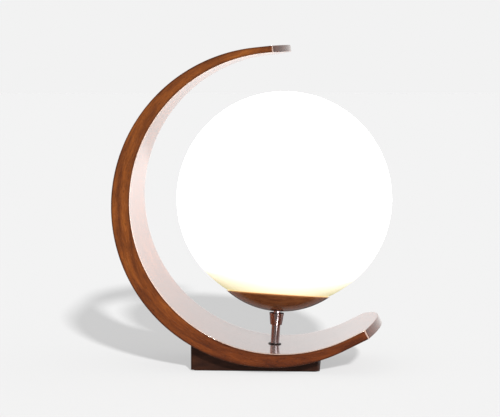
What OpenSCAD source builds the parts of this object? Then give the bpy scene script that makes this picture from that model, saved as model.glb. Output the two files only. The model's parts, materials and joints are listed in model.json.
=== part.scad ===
// Crescent table lamp: a wooden crescent on a foot block carries an opal globe on a short swivelling stem.
// The origin is the middle of the foot's underside, +Z is up and the front faces -Y.

/* [Crescent] */
// Outer radius of the crescent
arc_r = 144; // [130:1:170]
// Difference between the radii of the crescent's outer and inner faces
band_t = 9; // [7:0.1:14]
// Shift of the inner face's centre to the right of the outer centre
inner_dx = 7.9; // [4:0.1:11]
// Shift of the inner face's centre above the outer centre
inner_dz = 3.6; // [1:0.1:6]
// Depth of the band from front to back
arc_depth = 110; // [90:1:140]
// Height of the crescent's lowest point above the table
arc_lift = 6; // [5.5:0.1:9]
// Angle at which the band leaves its circles and runs straight to the upper end
top_bend = 96; // [84:0.5:104]
// Straight run from there to the upper end's corners
top_run = 7.5; // [2:0.1:20]
// Angle at which the band leaves its circles and runs straight to the lower right end
right_bend = -63; // [-70:0.5:-46]
// Straight run from there to the lower right end's corners
right_run = 16.3; // [2:0.1:30]
// How far each end bows out past its corners
end_bow = 14.6; // [6:0.1:30]

/* [Foot] */
// Width of the foot block
block_w = 117.5; // [112:0.5:130]
// Depth of the foot block
block_d = 82; // [74:1:88]
// Distance from the block's middle to the crescent's outer centre
block_shift = 15; // [10:0.5:18]
// Rounding of the block's upright edges
block_edge_r = 2.2; // [1:0.1:5]
// Glue line between block and crescent
glue_gap = 0.1; // [0.05:0.05:0.3]
// Thickness of the felt
felt_t = 1; // [0.6:0.1:1.4]
// Distance from the block's edge to the felt's edge
felt_inset = 2.5; // [1:0.1:5]
// Width of the cover plate
cover_w = 106; // [104:1:108]
// Depth of the cover plate
cover_d = 60; // [56:1:66]
// Thickness of the cover plate
cover_t = 2; // [1.6:0.1:2.2]
// Gap round the cover plate
cover_gap = 0.3; // [0.2:0.1:0.6]

/* [Stem] */
// Lean of the stem to the right, in degrees
lean = 3.4; // [0:0.1:5]
// Radius of the chrome sleeve
sleeve_r = 4; // [3.6:0.1:4.6]
// Radius of the hollow tie rod
tube_r = 3; // [2.9:0.1:3.2]
// Radius of the wire bore in tie rod and ball stud
wire_bore_r = 2; // [1.9:0.05:2.1]
// Radius of the washer on the inner face
washer_r = 6; // [5.2:0.1:8]
// Thickness of that washer
washer_t = 1.2; // [0.8:0.1:2]
// Depth of the washer's seat in the wood
washer_seat = 0.4; // [0.2:0.1:0.8]
// Length of wood clamped between washer seat and nut
clamp_wood = 5.6; // [5:0.1:6.4]
// Radius of the nut's counterbore under the crescent
nut_well_r = 7.5; // [7:0.1:9]
// Shift of the globe's centre to the right of the inner face's centre
head_dx = 1.2; // [-3:0.1:3]
// Shift of the globe's centre above the inner face's centre
head_dz = 0.6; // [-2:0.1:2]

/* [Swivel] */
// Radius of the cone at its upper rim
cone_top_r = 6.8; // [6.4:0.1:7.4]
// Radius of the cone at its lower end
cone_foot_r = 5.4; // [5:0.1:6]
// Length of the cone
cone_l = 10.8; // [10.4:0.1:12]
// Gap between the cone's rim and the cup
cone_gap = 1.4; // [1.2:0.1:2.4]
// Radius of the ball
ball_r = 4.2; // [4:0.05:4.3]
// Gap round the ball in its socket
ball_gap = 0.3; // [0.2:0.05:0.4]
// Thickness of the cone's floor
cone_floor = 2; // [1.8:0.1:2.3]
// How far the head is tipped back at rest, in degrees
tip_back = 7; // [0:0.5:9]

/* [Head] */
// Outer radius of the globe
globe_r = 100; // [88:1:112]
// Wall of the globe
globe_wall = 2.2; // [1.8:0.1:3]
// Radius of the globe's lower opening
globe_hole_r = 33; // [31:0.5:36]
// Radius of the cup's rim
cup_rim_r = 48.2; // [46:0.1:49.5]
// Width of the cup's rim round the globe
cup_rim_wall = 1; // [0.6:0.1:2]
// Gap between the globe and its seat in the cup
seat_gap = 0.3; // [0.2:0.05:0.4]
// How far the cup reaches below the globe's seat
cup_bottom = 4.7; // [4:0.1:6]
// Wood left under the cup's floor
cup_floor = 5; // [4.6:0.1:5.4]
// Radius of the flat floor in the cup
cup_floor_r = 16; // [15.6:0.1:18]
// Radius of the threaded stud over the ball
stud_r = 4; // [3.8:0.1:4.3]

/* [Lampholder and bulb] */
// Outer radius of the lampholder
holder_r = 18; // [17.5:0.1:20]
// Wall of the lampholder's plastic
holder_wall = 1.6; // [1.2:0.1:2]
// Length of the lampholder's sleeve
holder_sleeve = 32; // [30:1:38]
// Radius of the bulb's screw cap
bulb_cap_r = 13.1; // [12.9:0.05:13.2]
// Gap between screw cap and lampholder shell
thread_gap = 0.3; // [0.2:0.05:0.5]
// Length of the screw cap
bulb_cap_l = 20; // [18:0.5:24]
// Radius of the bulb's envelope
bulb_r = 22.5; // [20:0.5:26]
// Wall of the bulb's envelope
bulb_wall = 1.2; // [0.8:0.1:2]
// Radius of the bulb's collar where it meets the envelope
collar_top_r = 16.2; // [15.5:0.1:18]

/* [Hidden] */
$fn = 96;
walnut = "#7a4322";
dark_walnut = "#2e1a12";
chrome = "#c8c6c8";
steel = "#9a9a9c";
brass = "#c9a24a";
black = "#222222";
opal = "#fbf7ea";
cream = "#ece6d6";

// a small overlap that lets a cut pass through a face
over = 1;
// free play between a shaft and what turns on it
play = 0.05;
// free play round a bolt or screw in its hole
bolt_gap = 0.15;
// free depth past the tip of a screw
screw_room = 0.4;

// the crescent's inner face, and the centres of its two circles
arc_inner_r = arc_r - band_t;
arc_x = block_shift;
arc_z = arc_lift + arc_r;
inner_x = arc_x + inner_dx;
inner_z = arc_z + inner_dz;
// the bow's circle runs a little past the band's front and back faces, so each end is one clean round face
bow_half = arc_depth / 2 + over;
bow_r = (bow_half ^ 2 + end_bow ^ 2) / (2 * end_bow);

// the globe's centre before the head is tipped, and its distance to the inner face down the stem's axis
stem_x = inner_x + head_dx;
stem_z = inner_z + head_dz;
head_along = head_dx * sin(lean) + head_dz * cos(lean);
face_drop = head_along + sqrt(arc_inner_r ^ 2 - head_dx ^ 2 - head_dz ^ 2 + head_along ^ 2);

// how far the cut past each end's bow reaches inside and outside the band
cut_reach = 12;
// a straight run starts this much inside its circle, so that the two cross cleanly
bend_ease = 0.003;
// stock that the foot is cut from: the saddle takes its whole top away
stock_h = arc_z / 3;

// the cup follows the globe: its seat, its rim and its lowest point, measured down from the globe's centre
seat_r = globe_r + seat_gap;
cup_rim_drop = sqrt(seat_r ^ 2 - (cup_rim_r - cup_rim_wall) ^ 2);
cup_drop = seat_r + cup_bottom;

// levels on the stem's axis, measured down from the globe's centre
cone_top = cup_drop + cone_gap;
cone_foot = cone_top + cone_l;
// the ball stands a little out of the cone's rim
ball_rise = 1;
pivot_drop = cone_top + ball_r - ball_rise;
floor_top = cone_foot - cone_floor;
friction_t = 0.4;
lip_t = 0.7;
lip_r = tube_r + 1.2;
washer_foot = face_drop + washer_seat;
nut_seat = washer_foot + clamp_wood;
lock_t = 0.8;
stem_nut_t = 3.2;
stem_nut_r = 5.8;
thread_end = 0.5;
tube_foot = nut_seat + lock_t + stem_nut_t + thread_end;

// the two dog-point screws that the ball tilts on
pivot_screw_r = 1.3;
pivot_dog_r = 0.8;
pivot_dog_depth = 1.4;
pivot_dog_room = 0.2;
pivot_screw_sink = 0.7;
// width and depth of the slot in a small screw
small_slot = 0.5;

// sizes of the flat twin lead: two cores side by side
core_r = 0.85;
lead_gap = 0.3;
lead_bend_r = 4;
// where the lead crosses the foot, on the stem's axis
cover_top = felt_t + cover_t;
lead_level = (stem_z - cover_top) / cos(lean) - core_r - 2 * lead_gap;

// the pocket for the terminal block in the thick end of the foot
pocket_w = 19;
pocket_d = 28;
pocket_x = -cover_w / 2 + over + pocket_w / 2;
term_l = 13;
term_w = 16;
term_h = 8;
pocket_gap = 0.6;
pocket_roof = cover_top + term_h + pocket_gap;
term_x = pocket_x;
term_entry_h = 2.4;
term_entry_w = 5;
term_entry_l = 4;
term_pole_x = 3.6;
term_pole_y = 5;
term_screw_r = 1.3;
term_screw_z = 3;
cord_entry_r = 2.8;
cord_entry_l = 4;
// how far the lead runs to the terminal block, square to the leaning stem, and its height there
lead_run = (stem_x - lead_level * sin(lean) - term_x - term_l / 2 + term_entry_l / 2) / cos(lean);
term_entry_z = stem_z - lead_level * cos(lean) + lead_run * sin(lean);
slot_w = 7;

// the cord inlet at the back of the foot
bush_r = 4.5;
bush_bore_r = 3.2;
bush_l = 14;
bush_flange_r = 6.2;
bush_flange_t = 1.5;
bush_step = 0.5;
bush_z = cover_top + bush_r + pocket_gap;

// screws of the foot
cover_screw_r = 1.5;
cover_screw_l = 7;
cover_screw_inset = 6;
cover_screw_x = cover_w / 2 - cover_screw_inset;
cover_screw_y = cover_d / 2 - cover_screw_inset;
arc_screw_r = 1.9;
arc_screw_l = 14;
arc_screw_head_r = 3.8;
arc_screw_head_h = 2.2;
arc_screw_y = 20;
arc_screw_gap = 0.2;
// they stand clear of the terminal pocket and of the cover's own screws
arc_screw_step = 8;
arc_screw_left = pocket_x + pocket_w / 2 + 2 * arc_screw_step;
arc_screw_right = cover_screw_x - arc_screw_step;
fixing_r = 1.2;
fixing_l = 6;

// levels in the head, measured from the globe's centre
cup_floor_z = -cup_drop + cup_floor;
cup_curve_r = (cup_rim_r ^ 2 + (cup_drop - cup_rim_drop) ^ 2) / (2 * (cup_drop - cup_rim_drop));
seat_lap = 2;
seat_inner_r = globe_hole_r - seat_lap;
seat_inner_z = -sqrt(seat_r ^ 2 - seat_inner_r ^ 2);
shoulder_step = 1;
shoulder_r = stud_r + shoulder_step;
shoulder_t = 1.2;
shoulder_sink = 0.1;
shoulder_z = -cup_drop + shoulder_sink;
neck_wall = 1;
neck_r = wire_bore_r + neck_wall;
plate_t = 1.2;
plate_gap = 0.5;
plate_r = cup_floor_r - plate_gap;
plate_top = cup_floor_z + plate_t;
stud_washer_r = 7;
stud_washer_t = 0.8;
stud_nut_r = 7.4;
stud_nut_t = 4;
nut_top = plate_top + stud_washer_t + stud_nut_t;
stud_rise = 8;
stud_top = nut_top + stud_rise;

// spring clips that grip the globe's opening from inside
clip_count = 3;
clip_w = 7;
clip_t = 0.5;
clip_gap = 0.4;
clip_reach = globe_hole_r - clip_gap;
clip_rise = 1.2;
clip_lead_in = 4;
clip_bulge_z = -sqrt(globe_r ^ 2 - globe_hole_r ^ 2) + clip_rise;
clip_nut_gap = 0.8;
clip_foot_r = stud_nut_r + clip_nut_gap;
rivet_r = 1.1;
rivet_head_r = 1.9;
rivet_head_h = 0.7;
rivet_place = (clip_foot_r + plate_r) / 2;

// lampholder levels
boss_wall = 3;
holder_boss_r = stud_r + boss_wall;
holder_boss_h = 6;
holder_foot = nut_top;
dome_h = 8;
dome_floor = 2;
dome_top = holder_foot + holder_boss_h + dome_h;
core_h = 9;
core_r_out = holder_r - holder_wall - bolt_gap;
core_recess = 1;
core_rim = 4.5;
core_top = dome_top + core_h;
shell_r = bulb_cap_r + thread_gap;
shell_wall = 0.8;
contact_t = 0.5;
contact_rise = 3;
contact_w = 6;
contact_foot = 10;
contact_bend = 5;
contact_flat = 2;
contact_gap = 0.1;
terminal_r = 1.3;
terminal_z = 4;
terminal_sink = 0.4;
// the lead's slot in the core, as a multiple of the lead's section, and its depth
lead_slot = 1.25;
lead_slot_h = 5;

// bulb levels
tip_foot = core_top + contact_rise + contact_gap;
tip_h = 1.2;
tip_r = 4.5;
insulator_h = 3.4;
insulator_step = 0.5;
cap_wall = 0.6;
cap_foot = tip_foot + tip_h + insulator_h;
cap_top = cap_foot + bulb_cap_l;
collar_h = 18;
collar_step = 1.4;
collar_foot_r = bulb_cap_r + collar_step;
collar_top = cap_top + collar_h;
bulb_centre = collar_top + sqrt(bulb_r ^ 2 - collar_top_r ^ 2);
collar_wall = 1.6;
// the board sits in the collar's mouth, where the collar is narrower by its own taper
board_t = 1.6;
board_gap = 0.2;
collar_taper = (collar_top_r - collar_foot_r) / collar_h;
board_r = collar_top_r - collar_wall - collar_taper * (board_t + collar_wall) - board_gap;

// Frames and shared shapes

// the stem's own frame: the origin is the untipped globe's centre and +Z runs up the leaning stem
module stem_frame() {
    translate([stem_x, 0, stem_z]) rotate([0, lean, 0]) children();
}

// the head's own frame: the origin is the globe's centre, tipped back round the ball
module head_frame() {
    stem_frame()
        translate([0, 0, -pivot_drop]) rotate([-tip_back, 0, 0]) translate([0, 0, pivot_drop])
            children();
}

// a ring or tube standing on the XY plane
module tube(outer, inner, h) {
    difference() {
        cylinder(r = outer, h = h);
        translate([0, 0, -over]) cylinder(r = inner, h = h + 2 * over);
    }
}

// a six-sided nut standing on the XY plane
module hex_nut(corner_r, hole_r, h) {
    difference() {
        cylinder(r = corner_r, h = h, $fn = 6);
        translate([0, 0, -over]) cylinder(r = hole_r, h = h + 2 * over);
    }
}

// a countersunk or raised screw pointing up, its head's underside at z = 0 and a slot in the head
module screw(shank_r, length, head_r, head_h, countersunk) {
    slot_depth = head_h / 2;
    slot_width = head_r / 3;
    difference() {
        union() {
            cylinder(r1 = head_r, r2 = countersunk ? shank_r : head_r, h = head_h);
            cylinder(r = shank_r, h = length - shank_r);
            translate([0, 0, length - shank_r]) cylinder(r1 = shank_r, r2 = shank_r / 4, h = shank_r);
        }
        translate([-head_r, -slot_width / 2, -over]) cube([2 * head_r, slot_width, over + slot_depth]);
    }
}

// a flat rectangle with rounded corners
module rounded_plate(w, d, r) {
    square([w - 2 * r, d], center = true);
    square([w, d - 2 * r], center = true);
    for (x = [-1, 1], y = [-1, 1])
        translate([x * (w / 2 - r), y * (d / 2 - r)]) circle(r);
}

// the flat twin lead's section, its two cores side by side on the second axis
module lead_section() {
    square([2 * core_r, 2 * core_r], center = true);
    for (y = [-1, 1]) translate([0, y * core_r]) circle(core_r);
}

// places of the four screws that hold the crescent, two at each side of the stem
module at_arc_screws() {
    for (x = [arc_screw_left, arc_screw_right], y = [-1, 1])
        translate([x, y * arc_screw_y, cover_top + arc_screw_gap]) children();
}

// places of the four cover screws
module at_cover_screws() {
    for (x = [-1, 1], y = [-1, 1])
        translate([x * cover_screw_x, y * cover_screw_y, felt_t]) children();
}

// Foot and crescent

// a disc whose rim runs out straight past both bends, towards the open side
module run_out_disc(r, top_l, right_l) {
    circle(r);
    rotate(top_bend) translate([0, -top_l]) square([r - bend_ease, top_l]);
    rotate(right_bend) square([r - bend_ease, right_l]);
}

// the crescent seen from the front, its ends still square and too long
module crescent_profile() {
    spare = end_bow + inner_dx + inner_dz + over;
    difference() {
        run_out_disc(arc_r, top_run + spare, right_run + spare);
        translate([inner_dx, inner_dz]) run_out_disc(arc_inner_r, 2 * arc_r, 2 * arc_r);
    }
}

// what lies past the bow of an end; side is 1 where the band runs on counter-clockwise, -1 where clockwise
module end_cut(angle, run, side) {
    cut_foot = arc_inner_r - cut_reach;
    cut_t = band_t + 2 * cut_reach;
    cut_l = arc_r;
    cut_d = arc_depth + over;
    translate([inner_x, 0, inner_z]) rotate([0, -angle, 0]) difference() {
        translate([cut_foot, -cut_d / 2, side * (run - over + cut_l / 2) - cut_l / 2]) cube([cut_t, cut_d, cut_l]);
        translate([cut_foot - over, 0, side * (run + end_bow - bow_r)]) rotate([0, 90, 0])
            cylinder(r = bow_r, h = cut_t + 2 * over);
    }
}

// the round well under the crescent that takes the stem's nut and lets the lead out
module nut_well() {
    well_l = arc_r - arc_inner_r + arc_lift + inner_dz;
    translate([0, 0, -nut_seat - well_l]) cylinder(r = nut_well_r, h = well_l);
}

module crescent_arc() {
    color(walnut) difference() {
        translate([arc_x, 0, arc_z]) rotate([90, 0, 0]) linear_extrude(arc_depth, center = true)
            crescent_profile();
        end_cut(top_bend, top_run, -1);
        end_cut(right_bend, right_run, 1);
        stem_frame() {
            translate([0, 0, -nut_seat - over]) cylinder(r = tube_r + bolt_gap, h = clamp_wood + 2 * over);
            translate([0, 0, -washer_foot]) cylinder(r = washer_r + bolt_gap, h = washer_r);
            nut_well();
        }
        at_arc_screws() cylinder(r = arc_screw_r + play, h = arc_screw_l + screw_room);
    }
}

module base_block() {
    saddle_l = block_d + 2 * over;
    slot_end = stem_x - nut_seat * sin(lean) + nut_well_r;
    color(dark_walnut) difference() {
        translate([0, 0, felt_t]) linear_extrude(stock_h) rounded_plate(block_w, block_d, block_edge_r);
        translate([arc_x, saddle_l / 2, arc_z]) rotate([90, 0, 0]) cylinder(r = arc_r + glue_gap, h = saddle_l);
        translate([-cover_w / 2 - cover_gap, -cover_d / 2 - cover_gap, felt_t - over])
            cube([cover_w + 2 * cover_gap, cover_d + 2 * cover_gap, cover_t + over]);
        translate([pocket_x - pocket_w / 2, -pocket_d / 2, felt_t])
            cube([pocket_w, pocket_d, pocket_roof - felt_t]);
        translate([pocket_x, -slot_w / 2, felt_t]) cube([slot_end - pocket_x, slot_w, pocket_roof - felt_t]);
        stem_frame() nut_well();
        translate([pocket_x, 0, bush_z]) rotate([-90, 0, 0]) cylinder(r = bush_r - bush_step, h = block_d);
        translate([pocket_x, block_d / 2 - bush_l, bush_z]) rotate([-90, 0, 0])
            cylinder(r = bush_r + play, h = bush_l + over);
        at_arc_screws() {
            cylinder(r = arc_screw_r + play, h = arc_screw_l);
            translate([0, 0, -over]) cylinder(r = arc_screw_head_r + bolt_gap, h = arc_screw_head_h + over);
        }
        at_cover_screws() cylinder(r = cover_screw_r + play, h = cover_screw_l + screw_room);
    }
}

module base_cover() {
    color(black) difference() {
        translate([-cover_w / 2, -cover_d / 2, felt_t]) cube([cover_w, cover_d, cover_t]);
        at_cover_screws() {
            cylinder(r1 = 2 * cover_screw_r + play, r2 = cover_screw_r + play, h = cover_screw_r);
            cylinder(r = cover_screw_r + play, h = cover_t + over);
        }
        translate([term_x, 0, felt_t]) {
            cylinder(r1 = 2 * fixing_r + play, r2 = fixing_r + play, h = fixing_r);
            cylinder(r = fixing_r + play, h = cover_t + over);
        }
    }
}

module cover_screws() {
    color(steel) at_cover_screws()
        screw(cover_screw_r, cover_screw_l, 2 * cover_screw_r, cover_screw_r, true);
}

module base_felt() {
    color(black) linear_extrude(felt_t)
        rounded_plate(block_w - 2 * felt_inset, block_d - 2 * felt_inset, block_edge_r);
}

module arc_screws() {
    color(steel) at_arc_screws() screw(arc_screw_r, arc_screw_l, arc_screw_head_r, arc_screw_head_h, false);
}

module cord_bush() {
    color(black) translate([pocket_x, block_d / 2 - bush_l, bush_z]) rotate([-90, 0, 0]) difference() {
        union() {
            cylinder(r = bush_r, h = bush_l);
            translate([0, 0, bush_l]) cylinder(r = bush_flange_r, h = bush_flange_t);
        }
        translate([0, 0, -over]) cylinder(r = bush_bore_r, h = bush_l + bush_flange_t + 2 * over);
    }
}

module terminal_block() {
    color(cream) translate([term_x - term_l / 2, -term_w / 2, cover_top]) difference() {
        cube([term_l, term_w, term_h]);
        translate([term_l - term_entry_l, (term_w - term_entry_w) / 2, term_entry_z - cover_top - term_entry_h / 2])
            cube([term_entry_l + over, term_entry_w, term_entry_h]);
        translate([-over, term_w / 2, term_h / 2]) rotate([0, 90, 0])
            cylinder(r = cord_entry_r, h = cord_entry_l + over);
        for (x = [-1, 1], y = [-1, 1])
            translate([term_l / 2 + x * term_pole_x, term_w / 2 + y * term_pole_y, term_screw_z])
                cylinder(r = term_screw_r + play, h = term_h);
        translate([term_l / 2, term_w / 2, -over])
            cylinder(r = fixing_r + play, h = fixing_l - cover_t + screw_room + over);
    }
}

module terminal_screws() {
    screw_l = term_h - term_screw_z - screw_room;
    color(brass) for (x = [-1, 1], y = [-1, 1])
        translate([term_x + x * term_pole_x, y * term_pole_y, cover_top + term_screw_z]) difference() {
            cylinder(r = term_screw_r, h = screw_l);
            translate([-term_screw_r, -small_slot / 2, screw_l - small_slot])
                cube([2 * term_screw_r, small_slot, small_slot + over]);
        }
}

module terminal_fixing() {
    color(steel) translate([term_x, 0, felt_t]) screw(fixing_r, fixing_l, 2 * fixing_r, fixing_r, true);
}

// Stem

module threaded_tube() {
    lip_foot = floor_top - friction_t;
    color(brass) stem_frame() difference() {
        union() {
            translate([0, 0, -tube_foot]) cylinder(r = tube_r, h = tube_foot - lip_foot);
            translate([0, 0, -lip_foot]) cylinder(r = lip_r, h = lip_t);
        }
        translate([0, 0, -tube_foot - over]) cylinder(r = wire_bore_r, h = tube_foot);
    }
}

module stem_sleeve() {
    sleeve_foot = washer_foot - washer_t;
    color(chrome) stem_frame() translate([0, 0, -sleeve_foot])
        tube(sleeve_r, tube_r + bolt_gap, sleeve_foot - cone_foot);
}

module stem_washer() {
    color(black) stem_frame() translate([0, 0, -washer_foot]) tube(washer_r, tube_r + bolt_gap, washer_t);
}

module lock_washer() {
    color(steel) stem_frame() translate([0, 0, -nut_seat - lock_t]) tube(stem_nut_r, tube_r + bolt_gap, lock_t);
}

module stem_nut() {
    color(brass) stem_frame() translate([0, 0, -nut_seat - lock_t - stem_nut_t])
        hex_nut(stem_nut_r, tube_r + play, stem_nut_t);
}

module base_lead() {
    lead_top = floor_top - 1;
    bend_z = lead_level - lead_bend_r;
    color(cream) stem_frame() {
        translate([0, 0, -bend_z]) linear_extrude(bend_z - lead_top) lead_section();
        translate([-lead_bend_r, 0, -bend_z]) rotate([90, 0, 0]) rotate([0, 0, -90])
            rotate_extrude(angle = 90) translate([lead_bend_r, 0]) lead_section();
        translate([-lead_bend_r, 0, -lead_level]) rotate([0, -90, 0])
            linear_extrude(lead_run - lead_bend_r) lead_section();
    }
}

// Swivel

module swivel_cone() {
    color(chrome) stem_frame() translate([0, 0, -cone_foot]) difference() {
        cylinder(r1 = cone_foot_r, r2 = cone_top_r, h = cone_l);
        translate([0, 0, cone_floor]) cylinder(r = ball_r + ball_gap, h = cone_l);
        translate([0, 0, -over]) cylinder(r = tube_r + play, h = cone_floor + 2 * over);
        translate([0, 0, cone_foot - pivot_drop]) rotate([0, 90, 0])
            cylinder(r = pivot_screw_r + play, h = 4 * cone_top_r, center = true);
    }
}

module pivot_screws() {
    screw_foot = ball_r + ball_gap;
    screw_l = cone_top_r - screw_foot - pivot_screw_sink;
    color(steel) stem_frame() translate([0, 0, -pivot_drop]) for (side = [-1, 1]) rotate([0, 90 * side, 0])
        difference() {
            union() {
                translate([0, 0, screw_foot]) cylinder(r = pivot_screw_r, h = screw_l);
                translate([0, 0, ball_r - pivot_dog_depth])
                    cylinder(r = pivot_dog_r, h = pivot_dog_depth + ball_gap + screw_l / 2);
            }
            translate([-pivot_screw_r, -small_slot / 2, screw_foot + screw_l - small_slot])
                cube([2 * pivot_screw_r, small_slot, small_slot + over]);
        }
}

module friction_washer() {
    color(cream) stem_frame() translate([0, 0, -floor_top]) tube(lip_r, tube_r + bolt_gap, friction_t);
}

module ball_stud() {
    dog_hole_l = pivot_dog_depth + pivot_dog_room + over;
    color(chrome) head_frame() difference() {
        union() {
            translate([0, 0, -pivot_drop]) sphere(r = ball_r);
            translate([0, 0, -pivot_drop]) cylinder(r = neck_r, h = pivot_drop + shoulder_z + shoulder_t / 2);
            translate([0, 0, shoulder_z]) cylinder(r = shoulder_r, h = shoulder_t);
            translate([0, 0, shoulder_z + shoulder_t / 2])
                cylinder(r = stud_r, h = stud_top - shoulder_z - shoulder_t / 2);
        }
        translate([0, 0, -pivot_drop - ball_r - over]) cylinder(r = wire_bore_r, h = pivot_drop);
        translate([0, 0, -pivot_drop]) for (side = [-1, 1]) rotate([0, 90 * side, 0])
            translate([0, 0, ball_r + over - dog_hole_l]) cylinder(r = pivot_dog_r + play, h = dog_hole_l);
    }
}

// Cup and what grips the globe

module cup() {
    color(walnut) head_frame() difference() {
        intersection() {
            translate([0, 0, cup_curve_r - cup_drop]) sphere(r = cup_curve_r);
            translate([0, 0, -cup_drop - over]) cylinder(r = 2 * cup_rim_r, h = cup_drop + over - cup_rim_drop);
        }
        sphere(r = seat_r);
        translate([0, 0, cup_floor_z])
            cylinder(r1 = cup_floor_r, r2 = seat_inner_r, h = seat_inner_z - cup_floor_z);
        translate([0, 0, -cup_drop - over]) {
            cylinder(r = stud_r + bolt_gap, h = cup_floor + 2 * over);
            cylinder(r = shoulder_r + bolt_gap, h = over + shoulder_sink + shoulder_t);
        }
    }
}

module gallery_plate() {
    color(steel) head_frame() difference() {
        translate([0, 0, cup_floor_z]) cylinder(r = plate_r, h = plate_t);
        translate([0, 0, cup_floor_z - over]) cylinder(r = stud_r + bolt_gap, h = plate_t + 2 * over);
        at_clips() translate([rivet_place, 0, cup_floor_z - over])
            cylinder(r = rivet_r + play, h = plate_t + 2 * over);
    }
}

module at_clips() {
    for (i = [0 : clip_count - 1]) rotate([0, 0, 90 + i * 360 / clip_count]) children();
}

module spring_clips() {
    color(steel) head_frame() at_clips() difference() {
        rotate([90, 0, 0]) linear_extrude(clip_w, center = true) polygon([
            [clip_foot_r, plate_top],
            [plate_r, plate_top],
            [clip_reach, clip_bulge_z],
            [clip_reach - clip_lead_in, clip_bulge_z + 2 * clip_lead_in],
            [clip_reach - clip_lead_in - clip_t, clip_bulge_z + 2 * clip_lead_in],
            [clip_reach - 1.5 * clip_t, clip_bulge_z + clip_t],
            [plate_r - clip_t / 2, plate_top + clip_t],
            [clip_foot_r, plate_top + clip_t]
        ]);
        translate([rivet_place, 0, plate_top - over]) cylinder(r = rivet_r + play, h = clip_t + 2 * over);
    }
}

module clip_rivets() {
    color(steel) head_frame() at_clips() translate([rivet_place, 0, cup_floor_z]) {
        cylinder(r = rivet_r, h = plate_t + clip_t + rivet_head_h / 2);
        translate([0, 0, plate_t + clip_t]) cylinder(r = rivet_head_r, h = rivet_head_h);
    }
}

module stud_washer() {
    color(steel) head_frame() translate([0, 0, plate_top]) tube(stud_washer_r, stud_r + bolt_gap, stud_washer_t);
}

module stud_nut() {
    color(brass) head_frame() translate([0, 0, plate_top + stud_washer_t])
        hex_nut(stud_nut_r, stud_r + play, stud_nut_t);
}

// Lampholder

module holder_cap() {
    color(black) head_frame() translate([0, 0, holder_foot]) difference() {
        union() {
            cylinder(r = holder_boss_r, h = holder_boss_h);
            translate([0, 0, holder_boss_h - dome_floor])
                cylinder(r1 = holder_boss_r, r2 = holder_r, h = dome_h + dome_floor);
        }
        translate([0, 0, holder_boss_h])
            cylinder(r1 = holder_boss_r - holder_wall, r2 = holder_r - holder_wall, h = dome_h);
        translate([0, 0, -over]) cylinder(r = stud_r + play, h = holder_boss_h + 2 * over);
    }
}

module holder_body() {
    color(black) head_frame() translate([0, 0, dome_top]) tube(holder_r, holder_r - holder_wall, holder_sleeve);
}

module holder_core() {
    color(cream) head_frame() translate([0, 0, dome_top]) difference() {
        cylinder(r = core_r_out, h = core_h);
        translate([0, 0, -over]) cylinder(r = core_r_out - core_rim, h = core_recess + over);
        translate([0, 0, -over]) linear_extrude(lead_slot_h + over) scale(lead_slot) lead_section();
        for (side = [-1, 1]) translate([0, side * (core_r_out + over), terminal_z]) rotate([90 * side, 0, 0])
            cylinder(r = terminal_r + play, h = core_r_out);
    }
}

module holder_shell() {
    color(brass) head_frame() translate([0, 0, core_top]) tube(shell_r + shell_wall, shell_r, bulb_cap_l);
}

module holder_contact() {
    skew = contact_t / 2;
    color(brass) head_frame() translate([0, 0, core_top]) rotate([90, 0, 0])
        linear_extrude(contact_w, center = true) polygon([
            [-contact_foot, 0],
            [-contact_bend, 0],
            [-contact_flat, contact_rise - contact_t],
            [2 * contact_flat, contact_rise - contact_t],
            [2 * contact_flat, contact_rise],
            [-contact_flat - skew, contact_rise],
            [-contact_bend - skew, contact_t],
            [-contact_foot, contact_t]
        ]);
}

module holder_terminals() {
    terminal_l = core_r_out - terminal_sink - 2 * core_r * lead_slot - bolt_gap;
    color(brass) head_frame() for (side = [-1, 1])
        translate([0, side * (core_r_out - terminal_sink), dome_top + terminal_z]) rotate([90 * side, 0, 0])
            difference() {
                cylinder(r = terminal_r, h = terminal_l);
                translate([-terminal_r, -small_slot / 2, -over])
                    cube([2 * terminal_r, small_slot, over + small_slot]);
            }
}

module head_lead() {
    lead_foot = pivot_drop + ball_r / 2;
    lead_end = dome_top + lead_slot_h - screw_room;
    color(cream) head_frame() translate([0, 0, -lead_foot]) linear_extrude(lead_foot + lead_end) lead_section();
}

// Globe and bulb

module globe() {
    color(opal) head_frame() difference() {
        sphere(r = globe_r);
        sphere(r = globe_r - globe_wall);
        translate([0, 0, -globe_r - over]) cylinder(r = globe_hole_r, h = globe_r / 2);
    }
}

module bulb_cap() {
    color(steel) head_frame() translate([0, 0, cap_foot]) tube(bulb_cap_r, bulb_cap_r - cap_wall, bulb_cap_l);
}

module bulb_insulator() {
    color(black) head_frame() translate([0, 0, tip_foot + tip_h])
        cylinder(r1 = tip_r + insulator_step, r2 = bulb_cap_r - cap_wall, h = insulator_h);
}

module bulb_tip() {
    color(steel) head_frame() translate([0, 0, tip_foot]) cylinder(r1 = tip_r - tip_h, r2 = tip_r, h = tip_h);
}

module bulb_collar() {
    color(cream) head_frame() translate([0, 0, cap_top]) difference() {
        cylinder(r1 = collar_foot_r, r2 = collar_top_r, h = collar_h);
        translate([0, 0, collar_wall])
            cylinder(r1 = collar_foot_r - collar_wall, r2 = collar_top_r - collar_wall, h = collar_h);
    }
}

module led_board() {
    color(cream) head_frame() translate([0, 0, collar_top - board_t]) cylinder(r = board_r, h = board_t);
}

module bulb_envelope() {
    color(opal) head_frame() difference() {
        translate([0, 0, bulb_centre]) sphere(r = bulb_r);
        translate([0, 0, bulb_centre]) sphere(r = bulb_r - bulb_wall);
        translate([0, 0, collar_top - 2 * bulb_r]) cylinder(r = 2 * bulb_r, h = 2 * bulb_r);
    }
}

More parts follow.
